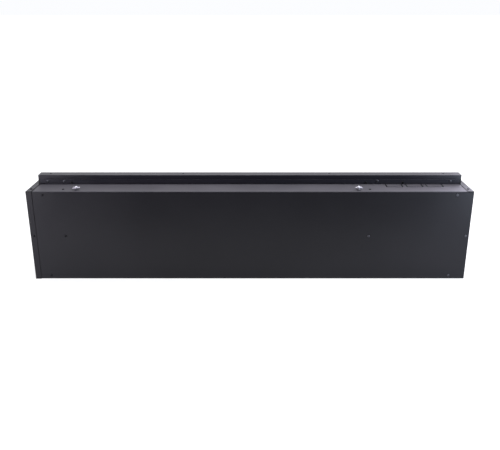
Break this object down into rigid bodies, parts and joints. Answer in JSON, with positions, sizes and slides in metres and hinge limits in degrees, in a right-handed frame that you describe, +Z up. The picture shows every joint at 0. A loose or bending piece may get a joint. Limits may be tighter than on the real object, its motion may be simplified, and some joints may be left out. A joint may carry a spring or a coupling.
{
  "type": "electric fireplace",
  "caption": "Shallow linear electric fireplace in a folded steel casing, with a glazed flame window, side heater outlet and a raised header channel for fixing.",
  "frame": {"origin": "middle of the casing's underside", "axes": "+Z up, the glass faces -Y, the rear cover faces +Y, +X to the right as seen from the front"},
  "size_m": [1.2722, 0.1453, 0.296],
  "materials": {
    "casing_black": "satin fine-texture powder coat",
    "casing_top": "satin fine-texture powder coat",
    "screw_black": "black oxide, slight sheen",
    "bright_plate": "bright nickel plate",
    "galvanised": "zinc coated",
    "front_glazing": "clear tempered",
    "screen_plastic": "smoked translucent",
    "black_plastic": "fine spark texture",
    "bright_foil": "mirror foil",
    "smoked_plastic": "smoked translucent",
    "crystal": "clear cut glass",
    "strip_board": "white solder mask",
    "ground_steel": "ground",
    "rubber_black": "matte",
    "motor_steel": "zinc plated",
    "wheel_alloy": "as rolled",
    "element_alloy": "as rolled",
    "circuit_board": "green solder mask",
    "standoff_nylon": "natural nylon",
    "rocker_black": "polished"
  },
  "bodies": {
    "casing": {"rear_cover": "casing_black", "top_panel": "casing_top", "bottom_panel": "casing_black", "end_cap_left": "casing_black", "end_cap_right": "casing_black", "header_channel": "casing_black", "fascia": "casing_black", "outlet_grille": "casing_black", "front_glass": "front_glazing", "rocker_housing": "black_plastic", "receiver_lens": "smoked_plastic", "cable_grommet": "rubber_black", "hanger_rail": "galvanised", "wing_washers": "screw_black", "rear_cover_screws": "screw_black", "top_panel_screws": "screw_black", "end_cap_screws": "screw_black", "header_screws": "screw_black", "bulkhead_left": "galvanised", "bulkhead_right": "galvanised", "glass_clips": "galvanised", "flame_screen": "screen_plastic", "screen_guides": "black_plastic", "reflector": "bright_foil", "ember_tray": "smoked_plastic", "tray_supports": "galvanised", "ember_crystals": "crystal", "ember_light_strip": "strip_board", "flame_light_strip": "strip_board", "top_light_strip": "strip_board", "rotor_bush": "black_plastic", "rotor_motor": "motor_steel", "blower_housing": "black_plastic", "blower_bush": "black_plastic", "blower_motor": "motor_steel", "heater_duct": "galvanised", "heater_element": "element_alloy", "thermal_cutout": "motor_steel", "power_board": "circuit_board", "board_standoffs": "standoff_nylon", "control_board": "circuit_board", "control_holder": "black_plastic", "terminal_block": "black_plastic"},
    "flame_rotor": {"rotor_spindle": "ground_steel", "rotor_fins": "bright_foil", "rotor_coupling": "rubber_black"},
    "blower_rotor": {"blower_wheel": "wheel_alloy", "blower_shaft": "ground_steel"},
    "left_wing_nut": {"wing_nut_left": "bright_plate"},
    "right_wing_nut": {"wing_nut_right": "bright_plate"},
    "mains_rocker": {"power_rocker": "rocker_black"},
    "power_button_body": {"power_button": "black_plastic"},
    "flame_button_body": {"flame_button": "black_plastic"},
    "heat_button_body": {"heat_button": "black_plastic"},
    "timer_button_body": {"timer_button": "black_plastic"}
  },
  "joints": [
    {"name": "flame_rotor_spin", "type": "hinge", "parent": "casing", "child": "flame_rotor", "pos_m": [0.095, 0.025, 0.046], "axis": [1, 0, 0], "continuous": true},
    {"name": "blower_spin", "type": "hinge", "parent": "casing", "child": "blower_rotor", "pos_m": [-0.51, 0.028, 0.205], "axis": [1, 0, 0], "continuous": true},
    {"name": "left_wing_nut_turn", "type": "hinge", "parent": "casing", "child": "left_wing_nut", "pos_m": [-0.3105, 0.051, 0.2745], "axis": [0, 0, 1], "continuous": true},
    {"name": "right_wing_nut_turn", "type": "hinge", "parent": "casing", "child": "right_wing_nut", "pos_m": [0.495, 0.051, 0.2745], "axis": [0, 0, 1], "continuous": true},
    {"name": "mains_rocker_tip", "type": "hinge", "parent": "casing", "child": "mains_rocker", "pos_m": [-0.382, -0.0678, 0.236], "axis": [1, 0, 0], "range_deg": [-16, 0]},
    {"name": "power_button_press", "type": "slide", "parent": "casing", "child": "power_button_body", "axis": [0, 1, 0], "range_m": [0, 0.0008], "stiffness_N_per_m": 300},
    {"name": "flame_button_press", "type": "slide", "parent": "casing", "child": "flame_button_body", "axis": [0, 1, 0], "range_m": [0, 0.0008], "stiffness_N_per_m": 300},
    {"name": "heat_button_press", "type": "slide", "parent": "casing", "child": "heat_button_body", "axis": [0, 1, 0], "range_m": [0, 0.0008], "stiffness_N_per_m": 300},
    {"name": "timer_button_press", "type": "slide", "parent": "casing", "child": "timer_button_body", "axis": [0, 1, 0], "range_m": [0, 0.0008], "stiffness_N_per_m": 300}
  ]
}
